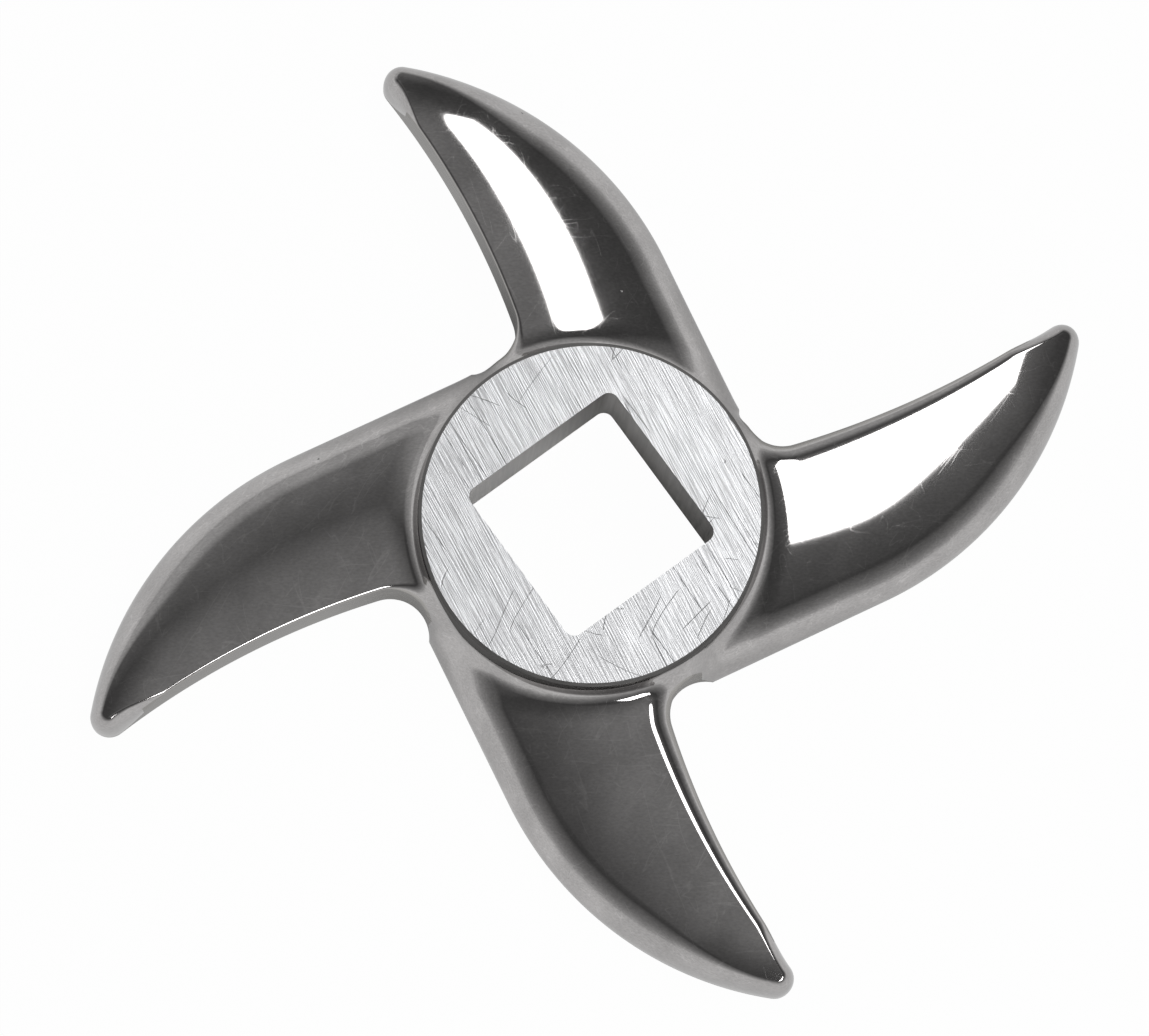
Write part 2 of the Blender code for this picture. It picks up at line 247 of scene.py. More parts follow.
# Ground hub face: fine lines with crisp edges over broad ones, slow clouds and stray scratches
GRINDING_ANGLE = radians(-98.2)
GROUND_COLOUR = (0.85, 0.855, 0.87)
GROUND_ROUGHNESS = (0.40, 0.48)
GROUND_DEPTH = 0.000016
FINE_LINES = Streaks(GRINDING_ANGLE, 0.00011, 0.0035, 3.0, 1.0)
FINE_RANGE = (0.38, 0.62)
FINE_WEIGHT = 0.55
BROAD_LINES = Streaks(GRINDING_ANGLE + radians(1.5), 0.0004, 0.012, 3.0, 2.0)
BROAD_WEIGHT = 0.45
LINE_TONE = (0.20, 0.80, 0.73, 1.07)
GROUND_CLOUDS = Streaks(GRINDING_ANGLE, 0.0012, 0.003, 3.0, 3.0)
GROUND_CLOUD_TONE = (0.92, 1.06)
SCRATCHES = (
    Hairlines(GRINDING_ANGLE + radians(4.0), 11.0, 0.0010, 0.02, 0.02, 0.58),
    Hairlines(GRINDING_ANGLE + radians(40.0), 20.0, 0.0014, 0.007, 0.012, 0.64),
    Hairlines(GRINDING_ANGLE + radians(-62.0), 21.0, 0.0014, 0.007, 0.012, 0.64),
)
SCRATCH_TONE = 0.62

# Ground underside: lines square to the hub face's, slow clouds and scratches
LAPPED_COLOUR = (0.60, 0.60, 0.59)
LAPPED_ROUGHNESS = (0.22, 0.32)
LAPPED_LINES = Streaks(GRINDING_ANGLE + pi / 2, 0.00012, 0.006, 3.0, 31.0)
LAPPED_LINE_TONE = (0.86, 1.08)
LAPPED_CLOUDS = Streaks(GRINDING_ANGLE, 0.003, 0.004, 2.0, 33.0)
LAPPED_CLOUD_TONE = (0.95, 1.04)
LAPPED_SCRATCHES = Hairlines(GRINDING_ANGLE + radians(50.0), 36.0, 0.0016, 0.014, 0.03, 0.60)

# Walls: the square with the broach's lines along the axis, and the hub's dull wall and chamfer, far
# darker than steel as painted shade at the hub's foot, and the satin cutting faces and gullets with
# level lines
BROACHED_STEEL = LinedSteel("broached_steel", (0.68, 0.67, 0.66), (0.30, 0.40), 1.0,
                            (0.00025, 0.00025, 0.01), (0.85, 1.10))
# Unpolished steel with a colour far darker than steel, which paints the shade on the hub's wall and
# chamfer
DULL_SHADED_STEEL = LinedSteel("dull_shaded_steel", (0.26, 0.255, 0.25), (0.26, 0.36), 0.30,
                        (0.002, 0.002, 0.00015), (0.88, 1.12))
SATIN_STEEL = LinedSteel("satin_steel", (0.55, 0.535, 0.515), (0.22, 0.32), 0.58,
                         (0.002, 0.002, 0.00015), (0.88, 1.12))
LINED_DETAIL = 3.0
LINED_DEPTH = 0.000004


def polar(radius, angle):
    """Plan point at a radius and an angle."""
    return radius * np.exp(1j * angle)


def dot(a, b):
    """Dot product of plan vectors."""
    return (a * np.conj(b)).real


def ease(value):
    """Smooth step from 0 to 1."""
    t = np.clip(value, 0.0, 1.0)
    return t * t * (3.0 - 2.0 * t)


def mix(a, b, share):
    """Value between a and b."""
    return a + (b - a) * share


def circles_meet(centre_a, radius_a, centre_b, radius_b):
    """Crossing of two circles that lies left of the line from a to b."""
    gap = abs(centre_b - centre_a)
    ahead = (centre_b - centre_a) / gap
    along = (radius_a ** 2 - radius_b ** 2 + gap ** 2) / (2.0 * gap)
    return centre_a + ahead * (along + 1j * sqrt(max(radius_a ** 2 - along ** 2, 0.0)))


def blade_heading(index):
    """Bearing of a blade's nose: the shorter pair leads the longer one a little."""
    return BLADE_HEADING + index * tau / BLADE_COUNT + (SHORT_LEAD if index % 2 else 0.0)


def gullet_centre(index):
    """Centre of the gullet ahead of a blade."""
    index = index % BLADE_COUNT
    stray = GULLET_STRAY if index in WIDE_BLADES else -GULLET_STRAY
    return polar(GULLET_DISTANCE, blade_heading(index) + GULLET_BEARING + stray)


def make_blade(index):
    """Centres of the arcs that bound one blade, and the corner at its heel."""
    heading = blade_heading(index)
    reach = SHORT_REACH if index % 2 else LONG_REACH
    edge_radius = STRAIGHT_EDGE_RADIUS if index == STRAIGHT_BLADE else EDGE_RADIUS
    edge_rounds = (TIP_ROUND, EDGE_ROUND) if index in WIDE_BLADES else (SHARP_ROUND, SHARP_ROUND)
    side = polar(1.0, heading + FLANK_FACING)
    nose = polar(reach - NOSE_RADIUS, heading)
    across = FLANK_OFFSET - BACK_RADIUS - dot(nose, side)
    along = sqrt(max((BACK_RADIUS - NOSE_RADIUS) ** 2 - across ** 2, 0.0))
    back = nose + side * (across - 1j * along)
    gullet = gullet_centre(index)
    edge = circles_meet(gullet, edge_radius - GULLET_RADIUS, nose, edge_radius + NOSE_RADIUS)
    last_gullet = gullet_centre(index - 1)
    offset = FLANK_OFFSET - dot(last_gullet, side)
    heel = last_gullet + side * (offset + 1j * sqrt(max(GULLET_RADIUS ** 2 - offset ** 2, 0.0)))
    return Blade(heading, reach, nose, edge, edge_radius, edge_rounds,
                 back, gullet, heel, last_gullet)


BLADES = [make_blade(index) for index in range(BLADE_COUNT)]


def edge_distance(blade, p):
    """Distance behind the cutting edge's arc, negative on the gullet's side."""
    return np.abs(p - blade.edge) - blade.edge_radius


def back_distance(blade, p):
    """Distance inside the convex back: an arc, then a straight run to the heel."""
    offset = p - blade.back
    side = polar(1.0, blade.heading + FLANK_FACING)
    straight = dot(offset, -1j * side) > 0.0
    return BACK_RADIUS - np.where(straight, dot(offset, side), np.abs(offset))


def blade_height(blade, p):
    """Height of one blade's crown: a crest at the cutting edge, lower to the back and the nose."""
    radius = np.abs(p)
    share = (radius - HUB_WALL_RADIUS) / (LONG_REACH - HUB_WALL_RADIUS)
    beyond = np.maximum(radius - blade.reach + NOSE_SWEEP, 0.0) / NOSE_SWEEP
    crest = CREST_ROOT + (CREST_TIP - CREST_ROOT) * share - NOSE_DROP * beyond ** 2
    ahead = edge_distance(blade, p)
    width = np.maximum(ahead + back_distance(blade, p), NOSE_RADIUS)
    fall = np.where(ahead < 0.0, NECK_FALL * ahead ** 2, 0.5 * BACK_SLOPE * ahead ** 2 / width)
    faces_away = dot(p, polar(1.0, blade.heading)) < BEHIND * radius
    return np.where(faces_away, 0.0, np.maximum(crest - fall, 0.0))


def hub_lift(distance):
    """Rise towards the hub's wall: a shallow sweep over the roots, then a concave fillet."""
    sweep = np.maximum(1.0 - distance / ROOT_SWEEP, 0.0)
    inside = np.maximum(HUB_FILLET - distance, 0.0)
    drop = np.sqrt(np.maximum(HUB_FILLET ** 2 - inside ** 2, 0.0))
    return ROOT_RISE * sweep ** 2 + HUB_FILLET - drop


def top_height(p):
    """Height of the polished top: the blades' crowns, lifted towards the hub's wall."""
    height = np.zeros(np.shape(p))
    for blade in BLADES:
        other = blade_height(blade, p)
        overlap = np.maximum(CROWN_BLEND - np.abs(height - other), 0.0) / CROWN_BLEND
        height = np.maximum(height, other) + BLEND_LIFT * CROWN_BLEND * overlap ** 2
    return height + hub_lift(np.abs(p) - HUB_WALL_RADIUS)


def under_height(p):
    """Height of the underside: flat lands and hub seat, with a shallow relief behind them."""
    depth = np.zeros(np.shape(p))
    for blade in BLADES:
        ahead = edge_distance(blade, p)
        inside = (dot(p, polar(1.0, blade.heading)) > BEHIND * np.abs(p)) & (ahead > 0.0)
        inside &= (back_distance(blade, p) > -RIM) & (depth == 0.0)
        depth = np.where(inside, ahead, depth)
    return RELIEF_SLOPE * np.maximum(np.minimum(depth - LAND_WIDTH, np.abs(p) - SEAT_RADIUS), 0.0)


def angle_of(vector):
    """Angle of a plan vector."""
    return float(np.angle(vector))


def unwind(angle, reference):
    """The same angle, within half a turn of a reference."""
    return angle - tau * round((angle - reference) / tau)


def arc_run(centre, radius, start, end, facet, outward):
    """Shares, points and normals along an arc, without its last point."""
    count = max(LEAST_FACETS, ceil(abs(end - start) * radius / facet))
    share = np.arange(count) / count
    spoke = polar(1.0, start + (end - start) * share)
    return share, centre + radius * spoke, outward * spoke


def heel_run(blade):
    """The straight run from the heel to the back's arc, without its last point."""
    side = polar(1.0, blade.heading + FLANK_FACING)
    end = blade.back + BACK_RADIUS * side
    count = max(LEAST_FACETS, ceil(abs(end - blade.heel) / RUN_FACET))
    share = np.arange(count) / count
    return share, mix(blade.heel, end, share), np.full(count, side)


def blade_runs(blade, following):
    """The five runs of a blade's outline, counter-clockwise from its heel to the next heel."""
    back_start = blade.heading + FLANK_FACING
    back_end = unwind(angle_of(blade.nose - blade.back), back_start)
    nose_end = unwind(angle_of(blade.edge - blade.nose), back_end + pi / 2)
    edge_start = angle_of(blade.nose - blade.edge)
    edge_end = unwind(angle_of(blade.gullet - blade.edge), edge_start)
    gullet_end = unwind(angle_of(following.heel - blade.gullet), edge_end - pi / 2)
    return {
        "heel": heel_run(blade),
        "back": arc_run(blade.back, BACK_RADIUS, back_start, back_end, RUN_FACET, 1.0),
        "nose": arc_run(blade.nose, NOSE_RADIUS, back_end, nose_end, ARC_FACET, 1.0),
        "edge": arc_run(blade.edge, blade.edge_radius, edge_start, edge_end, RUN_FACET, -1.0),
        "gullet": arc_run(blade.gullet, GULLET_RADIUS, edge_end, gullet_end, ARC_FACET, -1.0),
    }


def rounding(blade, name, share):
    """Width of the rounded edge along a run, and how far down the wall it reaches."""
    ones = np.ones(len(share))
    if name == "heel":
        return mix(EDGE_ROUND, BACK_ROUND, ease(share / HEEL_SHARE)), ones
    if name == "back":
        return mix(NOSE_ROUND, BACK_ROUND, ease((1.0 - share) / TAPER_SHARE)), ones
    if name == "nose":
        return NOSE_ROUND * ones, ones
    if name == "edge":
        fade = ease(1.0 - share / TIP_SHARE)
        return mix(mix(*blade.edge_rounds, share), NOSE_ROUND, fade), fade
    late = ease(1.0 - (1.0 - share) / HEEL_SHARE)
    return mix(blade.edge_rounds[1], EDGE_ROUND, ease(share)), late


def wall_distance(p, normal):
    """How far plan points lie from the hub's wall, straight in from the outline."""
    along = dot(p, normal)
    across = np.abs(p) ** 2 - along ** 2
    inside = np.sqrt(np.maximum(HUB_WALL_RADIUS ** 2 - across, 0.0))
    return np.where(across < HUB_WALL_RADIUS ** 2, along - inside, LONG_REACH)


def knife_stations():
    """Points, normals, rounding widths and wall shares of the whole outline, counter-clockwise."""
    columns = [[], [], [], []]
    for index, blade in enumerate(BLADES):
        runs = blade_runs(blade, BLADES[(index + 1) % BLADE_COUNT])
        spoke = blade.last_gullet - blade.heel
        corner = unwind(angle_of(runs["heel"][2][0]) - angle_of(spoke), 0.0)
        for name, (share, p, normal) in runs.items():
            if name == "heel":
                early = np.maximum(1.0 - share / CORNER_SHARE, 0.0)
                normal = normal * polar(1.0, -0.5 * corner * early ** 2)
            if name == "gullet":
                late = np.maximum(1.0 - (1.0 - share) / HEEL_SHARE, 0.0)
                normal = normal * polar(1.0, 0.5 * corner * late ** 2)
            width, full = rounding(blade, name, share)
            inset = np.minimum(width, wall_distance(p, normal) - WALL_MARGIN)
            for column, values in zip(columns, (p, normal, inset, full)):
                column.append(values)
    return [np.concatenate(column) for column in columns]


def spatial(p, height):
    """Plan points and heights as rows of x, y, z."""
    return np.column_stack((p.real, p.imag, np.broadcast_to(height, p.shape)))


def edge_ring(stations, angle):
    """One loop of the rounded edge, from 0 at the wall's top to a quarter turn at the crown."""
    p, normal, inset, full = stations
    ring = p - normal * inset * (1.0 - cos(angle))
    reach = mix(inset, top_height(p) - under_height(p) - RIM, full)
    return spatial(ring, top_height(ring) - reach * (1.0 - sin(angle)))


def unit(vectors):
    """Rows of vectors at unit length."""
    return vectors / np.linalg.norm(vectors, axis=1, keepdims=True)


def ring_normals(stations, angle):
    """Outward normals along one loop of the rounded edge."""
    ring = edge_ring(stations, angle)
    low, high = max(angle - PROBE / EDGE_ROUND, 0.0), min(angle + PROBE / EDGE_ROUND, pi / 2)
    rise = edge_ring(stations, high) - edge_ring(stations, low)
    onward = np.roll(ring, -1, axis=0) - np.roll(ring, 1, axis=0)
    return unit(np.cross(onward, rise))


def top_normals(p):
    """Outward normals of the polished top at plan points."""
    slope_x = (top_height(p + PROBE) - top_height(p - PROBE)) / (2.0 * PROBE)
    slope_y = (top_height(p + 1j * PROBE) - top_height(p - 1j * PROBE)) / (2.0 * PROBE)
    return unit(np.column_stack((-slope_x, -slope_y, np.ones(len(p)))))


def circle(radius, count):
    """Plan points of a circle about the axis."""
    return polar(radius, tau * np.arange(count) / count)


def square_loop():
    """Plan points of the square drive, with rounded corners."""
    inner = 0.5 * SQUARE_SIDE - SQUARE_CORNER
    corners = []
    for corner in range(4):
        angles = (corner + np.arange(SQUARE_CORNER_FACETS + 1) / SQUARE_CORNER_FACETS) * pi / 2
        centre = polar(inner * sqrt(2.0), pi / 4 + corner * pi / 2)
        corners.append(centre + polar(SQUARE_CORNER, angles))
    return np.concatenate(corners)


def inside_loop(p, loop):
    """Which plan points lie inside a closed loop."""
    inside = np.zeros(len(p), bool)
    for a, b in zip(loop, np.roll(loop, -1)):
        if a.imag != b.imag:
            crosses = (a.imag > p.imag) != (b.imag > p.imag)
            share = (p.imag - a.imag) / (b.imag - a.imag)
            inside ^= crosses & (p.real < a.real + share * (b.real - a.real))
    return inside


def clear_points(p, loop, clearance):
    """The plan points inside a loop that keep a clearance to its corners."""
    p = p[inside_loop(p, loop)]
    nearest = np.full(len(p), LONG_REACH)
    for corner in loop:
        nearest = np.minimum(nearest, np.abs(p - corner))
    return p[nearest > clearance]


def grid_points(spacing, beyond):
    """Plan points of a staggered grid outside a radius about the axis."""
    rows = ceil(LONG_REACH / spacing)
    row, column = np.mgrid[-rows:rows + 1, -rows:rows + 1]
    p = ((column + 0.5 * (row % 2)) + 1j * row * ROW_SPACING) * spacing
    return p[np.abs(p) > beyond]


def land_points():
    """Plan points along the back of each cutting land, and round the hub's seat."""
    parts = [circle(SEAT_RADIUS, HUB_FACETS)]
    for blade in BLADES:
        start = angle_of(blade.gullet - blade.edge)
        end = unwind(angle_of(blade.nose - blade.edge), start)
        run = arc_run(blade.edge, blade.edge_radius + LAND_WIDTH, start, end, RUN_FACET, 1.0)[1]
        parts.append(run[np.abs(run) > LAND_START])
    return np.concatenate(parts)


POLISHED, GROUND, BROACHED, LAPPED, DULL_SHADED, SATIN = range(6)


class Skin:
    """Points, faces, finishes and chosen normals of the fine mesh."""

    def __init__(self):
        self.points = np.zeros((0, 3))
        self.normals = np.zeros((0, 3))
        self.faces = []
        self.finishes = []
        self.chosen = []

    def loop(self, points, normals=None):
        """Add points, with their normals where these are known, and give their indices."""
        first = len(self.points)
        self.points = np.vstack((self.points, points))
        unknown = np.zeros(points.shape)
        self.normals = np.vstack((self.normals, unknown if normals is None else normals))
        return np.arange(first, len(self.points))

    def add(self, faces, finish, chosen):
        """Add faces of one finish."""
        self.faces += faces
        self.finishes += np.broadcast_to(finish, len(faces)).tolist()
        self.chosen += [chosen] * len(faces)

    def strip(self, lower, upper, finish, chosen=False):
        """Join two loops of equal length by a band of quads."""
        band = np.column_stack((lower, np.roll(lower, -1), np.roll(upper, -1), upper))
        self.add(band.tolist(), finish, chosen)

    def fill(self, outer, hole, spare, facing, finish, chosen=False):
        """Triangulate between an outer loop and a hole, through spare points."""
        indices = np.concatenate((outer, hole, spare)).astype(int)
        plan = [Vector(point) for point in self.points[indices][:, :2].tolist()]
        rim = len(outer)
        edges = [(k, (k + 1) % rim) for k in range(rim)]
        edges += [(rim + k, rim + (k + 1) % len(hole)) for k in range(len(hole))]
        triangles = np.array(delaunay_2d_cdt(plan, edges, [], 1, MERGE)[2])
        in_hole = (triangles >= rim) & (triangles < rim + len(hole))
        kept = triangles[~in_hole.all(axis=1)]
        self.add(indices[kept][:, ::facing].tolist(), finish, chosen)


def build_top(skin, stations, wall_top):
    """Rounded edges, crowned blades and fillet, out to the hub wall's foot."""
    rim = wall_top
    p, normal, inset, full = stations
    for step in range(1, ROUND_STEPS + 1):
        angle = step / ROUND_STEPS * pi / 2
        ring = skin.loop(edge_ring(stations, angle), ring_normals(stations, angle))
        wall = (full < SATIN_SHARE) & (angle < SATIN_ANGLE)
        skin.strip(rim, ring, np.where(wall, SATIN, POLISHED), True)
        rim = ring
    border = p - normal * inset
    foot_plan = circle(HUB_WALL_RADIUS, HUB_FACETS)
    outward = spatial(foot_plan / HUB_WALL_RADIUS, 0.0)
    foot = skin.loop(spatial(foot_plan, top_height(foot_plan)), outward)
    steps = np.arange(1, FILLET_STEPS + 1) / FILLET_STEPS
    radii = HUB_WALL_RADIUS + HUB_FILLET * (1.0 - np.cos(steps * pi / 2))
    fillet = np.concatenate([circle(radius, HUB_FACETS) for radius in radii])
    grid = grid_points(GRID, GRID_START)
    inner = np.concatenate((clear_points(fillet, border, LOOP_CLEARANCE),
                            clear_points(grid, border, GRID_CLEARANCE)))
    spare = skin.loop(spatial(inner, top_height(inner)), top_normals(inner))
    skin.fill(rim, foot, spare, 1, POLISHED, True)
    return foot


def build_hub(skin, foot):
    """Hub wall, its chamfer, and the ground face round the square."""
    wall = circle(HUB_WALL_RADIUS, HUB_FACETS)
    wall_top = skin.loop(spatial(wall, HUB_WALL_TOP), spatial(wall / HUB_WALL_RADIUS, 0.0))
    face_rim = skin.loop(spatial(circle(HUB_FACE_RADIUS, HUB_FACETS), HUB_HEIGHT))
    # The hub's wall and chamfer take the dark steel that paints the shade at the hub's foot.
    skin.strip(foot, wall_top, DULL_SHADED, True)
    skin.strip(wall_top, face_rim, DULL_SHADED)
    square_top = skin.loop(spatial(square_loop(), HUB_HEIGHT))
    skin.fill(face_rim, square_top, [], 1, GROUND)
    return square_top


def build_underside(skin, stations, square_top):
    """Ground lands, relief and hub seat, and the walls of the square."""
    outline = stations[0]
    rim = skin.loop(spatial(outline, under_height(outline)))
    square = square_loop()
    square_foot = skin.loop(spatial(square, 0.0))
    grid = grid_points(UNDER_GRID, UNDER_GRID_START)
    spare = np.concatenate((land_points(), grid))
    inner = clear_points(spare, outline, LOOP_CLEARANCE)
    skin.fill(rim, square_foot, skin.loop(spatial(inner, under_height(inner))), -1, LAPPED)
    skin.strip(square_top, square_foot, BROACHED)
    return rim


def skin_mesh(skin, name):
    """The skin as a mesh with its finishes and normals."""
    mesh = bpy.data.meshes.new(name)
    mesh.from_pydata(skin.points.tolist(), [], skin.faces)
    mesh.polygons.foreach_set("material_index", skin.finishes)
    mesh.shade_smooth()
    mesh.set_sharp_from_angle(angle=SHARP_ANGLE)
    corners = np.zeros(len(mesh.loops), int)
    mesh.loops.foreach_get("vertex_index", corners)
    sizes = np.array([len(face) for face in skin.faces])
    chosen = np.repeat(np.array(skin.chosen), sizes)
    normals = np.where(chosen[:, None], skin.normals[corners], 0.0)
    mesh.normals_split_custom_set(normals.tolist())
    return mesh


def make_knife(materials):
    """The knife as one closed fine mesh."""
    stations = knife_stations()
    skin = Skin()
    wall_top = skin.loop(edge_ring(stations, 0.0), ring_normals(stations, 0.0))
    foot = build_top(skin, stations, wall_top)
    square_top = build_hub(skin, foot)
    rim = build_underside(skin, stations, square_top)
    skin.strip(rim, wall_top, SATIN)
    mesh = skin_mesh(skin, "polished_knife")
    for material in materials:
        mesh.materials.append(material)
    knife = bpy.data.objects.new("polished_knife", mesh)
    bpy.context.scene.collection.objects.link(knife)
    return knife


def new_metal(name, colour, roughness, edge_tint=1.0):
    """A metal with its node tree and its shader."""
    material = bpy.data.materials.new(name)
    material.use_nodes = True
    shader = material.node_tree.nodes["Principled BSDF"]
    shader.inputs["Base Color"].default_value = (*colour, 1.0)
    shader.inputs["Metallic"].default_value = 1.0
    shader.inputs["Roughness"].default_value = roughness[0]
    shader.inputs["Specular Tint"].default_value = (edge_tint, edge_tint, edge_tint, 1.0)
    return material, material.node_tree, shader


def add_node(tree, kind, inputs, **settings):
    """Add a node with its settings, and link or set its inputs."""
    node = tree.nodes.new(kind)
    for name, value in settings.items():
        setattr(node, name, value)
    for name, value in inputs.items():
        if isinstance(value, bpy.types.NodeSocket):
            tree.links.new(value, node.inputs[name])
        else:
            node.inputs[name].default_value = value
    return node


def math_node(tree, operation, *values):
    """Result of a math node."""
    inputs = dict(enumerate(values))
    return add_node(tree, "ShaderNodeMath", inputs, operation=operation).outputs[0]


def fold(tree, operation, values):
    """Values joined one after another by a math operation."""
    return reduce(lambda joined, value: math_node(tree, operation, joined, value), values)


def scaled(tree, value, factor):
    """A value times a factor."""
    return math_node(tree, "MULTIPLY", value, factor)


def span(tree, value, low, high, to_low=0.0, to_high=1.0):
    """A value's range from low to high spread over another range, and held beyond it."""
    inputs = {"Value": value, "From Min": low, "From Max": high,
              "To Min": to_low, "To Max": to_high}
    return add_node(tree, "ShaderNodeMapRange", inputs).outputs["Result"]


def spread(tree, noise, levels):
    """Noise spread from one level to another over the values that it mostly takes."""
    return span(tree, noise, *NOISE_RANGE, *levels)


def marked(tree, marks, level):
    """1 beside some marks, and a level on them."""
    return span(tree, marks, 0.0, 1.0, 1.0, level)


def object_place(tree):
    """Place on the part."""
    return tree.nodes.new("ShaderNodeTexCoord").outputs["Object"]


def along(tree, place, bearing):
    """How far a place lies towards a bearing in the picture."""
    inputs = {0: place, 1: picture_bearing(bearing)}
    return add_node(tree, "ShaderNodeVectorMath", inputs, operation="DOT_PRODUCT").outputs["Value"]


def drawn_noise(tree, cells, detail, angle=0.0, seed=0.0):
    """Noise with cells of a given size, turned in the part's plan."""
    inputs = {"Vector": object_place(tree), "Location": (seed, 0.0, 0.0),
              "Rotation": (0.0, 0.0, angle), "Scale": cells}
    drawn = add_node(tree, "ShaderNodeMapping", inputs, vector_type="TEXTURE").outputs["Vector"]
    inputs = {"Vector": drawn, "Scale": 1.0, "Detail": detail}
    return add_node(tree, "ShaderNodeTexNoise", inputs).outputs["Fac"]


def streaks(tree, kind):
    """Noise drawn out along one direction of the part's plan."""
    cells = (kind.length, kind.width, kind.width)
    return drawn_noise(tree, cells, kind.detail, kind.angle, kind.seed)


def hairlines(tree, kind):
    """Sparse hairlines: thin contours of drawn-out noise, kept where a second noise is high."""
    cells = Streaks(kind.angle, kind.width, kind.length, 0.0, kind.seed)
    offset = math_node(tree, "SUBTRACT", streaks(tree, cells), NOISE_MIDDLE)
    line = span(tree, math_node(tree, "ABSOLUTE", offset), 0.0, kind.fineness, 1.0, 0.0)
    patches = streaks(tree, cells._replace(seed=kind.seed + 1.0))
    kept = span(tree, patches, kind.rarity, kind.rarity + PATCH_FADE)
    return math_node(tree, "MULTIPLY", line, kept)


def pits(tree):
    """Small round pits at a few of the centres of a cell pattern."""
    inputs = {"Vector": object_place(tree), "Scale": 1.0 / PIT_SPACING, "Randomness": 1.0}
    cells = add_node(tree, "ShaderNodeTexVoronoi", inputs).outputs
    chance = add_node(tree, "ShaderNodeSeparateColor", {"Color": cells["Color"]}).outputs["Red"]
    size = span(tree, chance, 1.0 - PIT_SHARE, 1.0, 0.0, PIT_SIZE / PIT_SPACING)
    return span(tree, math_node(tree, "SUBTRACT", size, cells["Distance"]), 0.0, PIT_RIM)


def dress(tree, shader, colour, tone, roughness, height, depth):
    """Link a metal's toned colour, its roughness, and relief of a depth in metres."""
    tint = add_node(tree, "ShaderNodeVectorMath", {0: colour, "Scale": tone}, operation="SCALE")
    inputs = {"Height": height, "Strength": 1.0, "Distance": depth}
    relief = add_node(tree, "ShaderNodeBump", inputs)
    tree.links.new(tint.outputs["Vector"], shader.inputs["Base Color"])
    tree.links.new(roughness, shader.inputs["Roughness"])
    tree.links.new(relief.outputs["Normal"], shader.inputs["Normal"])


def polished_steel():
    """Mirror-polished casting: blotchy gloss, random hairlines from use, a few pits."""
    material, tree, shader = new_metal("polished_steel", POLISHED_COLOUR, POLISHED_ROUGHNESS,
                                       POLISHED_EDGE_TINT)
    lines = fold(tree, "MAXIMUM", [hairlines(tree, kind) for kind in HAIRLINES])
    blotch, grain, speckle = (streaks(tree, kind) for kind in (BLOTCHES, GRAIN, SPECKLE))
    holes = pits(tree)
    roughness = fold(tree, "MAXIMUM", (spread(tree, blotch, POLISHED_ROUGHNESS),
                                       scaled(tree, lines, HAIRLINE_ROUGHNESS),
                                       scaled(tree, holes, PIT_ROUGHNESS)))
    worn = fold(tree, "MULTIPLY", (span(tree, blotch, *BLOTCH_TONE), marked(tree, holes, PIT_TONE),
                                   spread(tree, speckle, SPECKLE_TONE)))
    tone = math_node(tree, "ADD", worn, scaled(tree, lines, HAIRLINE_TONE))
    swells = math_node(tree, "ADD", scaled(tree, grain, GRAIN_RELIEF),
                       scaled(tree, blotch, BLOTCH_RELIEF))
    relief = fold(tree, "SUBTRACT", (swells, scaled(tree, lines, HAIRLINE_RELIEF), holes))
    dress(tree, shader, POLISHED_COLOUR, tone, roughness, relief, POLISHED_DEPTH)
    return material


def ground_steel():
    """Hub face with straight grinding lines of several widths and a few stray scratches."""
    material, tree, shader = new_metal("ground_steel", GROUND_COLOUR, GROUND_ROUGHNESS)
    fine, broad, cloud = (streaks(tree, kind) for kind in (FINE_LINES, BROAD_LINES, GROUND_CLOUDS))
    lines = math_node(tree, "ADD", scaled(tree, span(tree, fine, *FINE_RANGE), FINE_WEIGHT),
                      scaled(tree, broad, BROAD_WEIGHT))
    scratches = fold(tree, "MAXIMUM", [hairlines(tree, kind) for kind in SCRATCHES])
    tone = fold(tree, "MULTIPLY", (span(tree, lines, *LINE_TONE),
                                   spread(tree, cloud, GROUND_CLOUD_TONE),
                                   marked(tree, scratches, SCRATCH_TONE)))
    relief = math_node(tree, "SUBTRACT", lines, scratches)
    roughness = spread(tree, broad, GROUND_ROUGHNESS)
    dress(tree, shader, GROUND_COLOUR, tone, roughness, relief, GROUND_DEPTH)
    return material


def lapped_steel():
    """Ground underside, with fine lines all one way and a few scratches across them."""
    material, tree, shader = new_metal("lapped_steel", LAPPED_COLOUR, LAPPED_ROUGHNESS)
    lines = streaks(tree, LAPPED_LINES)
    tone = math_node(tree, "MULTIPLY", spread(tree, lines, LAPPED_LINE_TONE),
                     spread(tree, streaks(tree, LAPPED_CLOUDS), LAPPED_CLOUD_TONE))
    relief = math_node(tree, "SUBTRACT", lines, hairlines(tree, LAPPED_SCRATCHES))
    roughness = spread(tree, lines, LAPPED_ROUGHNESS)
    dress(tree, shader, LAPPED_COLOUR, tone, roughness, relief, GROUND_DEPTH)
    return material


def lined_steel(kind):
    """A wall that was broached or ground but not polished, with lines one way."""
    material, tree, shader = new_metal(kind.name, kind.colour, kind.roughness, kind.edge_tint)
    lines = drawn_noise(tree, kind.cells, LINED_DETAIL)
    tone, roughness = spread(tree, lines, kind.tone), spread(tree, lines, kind.roughness)
    dress(tree, shader, kind.colour, tone, roughness, lines, LINED_DEPTH)
    return material


def picture_axes():
    """The picture's right and up directions in the part's plan."""
    return polar(1.0, -PICTURE_TURN), polar(1.0, pi / 2 - PICTURE_TURN)


def picture_bearing(angle):
    """Level direction at a bearing in the picture, in degrees from its right."""
    right, up = picture_axes()
    plan = right * cos(radians(angle)) + up * sin(radians(angle))
    return Vector((plan.real, plan.imag, 0.0))


def sky_direction(right_tilt, up_tilt):
    """Direction at tilts from straight up, towards the picture's right and up."""
    right, up = picture_axes()
    plan = tan(radians(right_tilt)) * right + tan(radians(up_tilt)) * up
    return Vector((plan.real, plan.imag, 1.0)).normalized()


def place_facing(target, direction, distance):
    """Placement that looks back at a target along a direction, with its top as the picture's."""
    up = picture_axes()[1]
    side = Vector((up.real, up.imag, 0.0)).cross(direction).normalized()
    turn = Matrix((side, direction.cross(side), direction)).transposed().to_4x4()
    return Matrix.Translation(target + direction * distance) @ turn


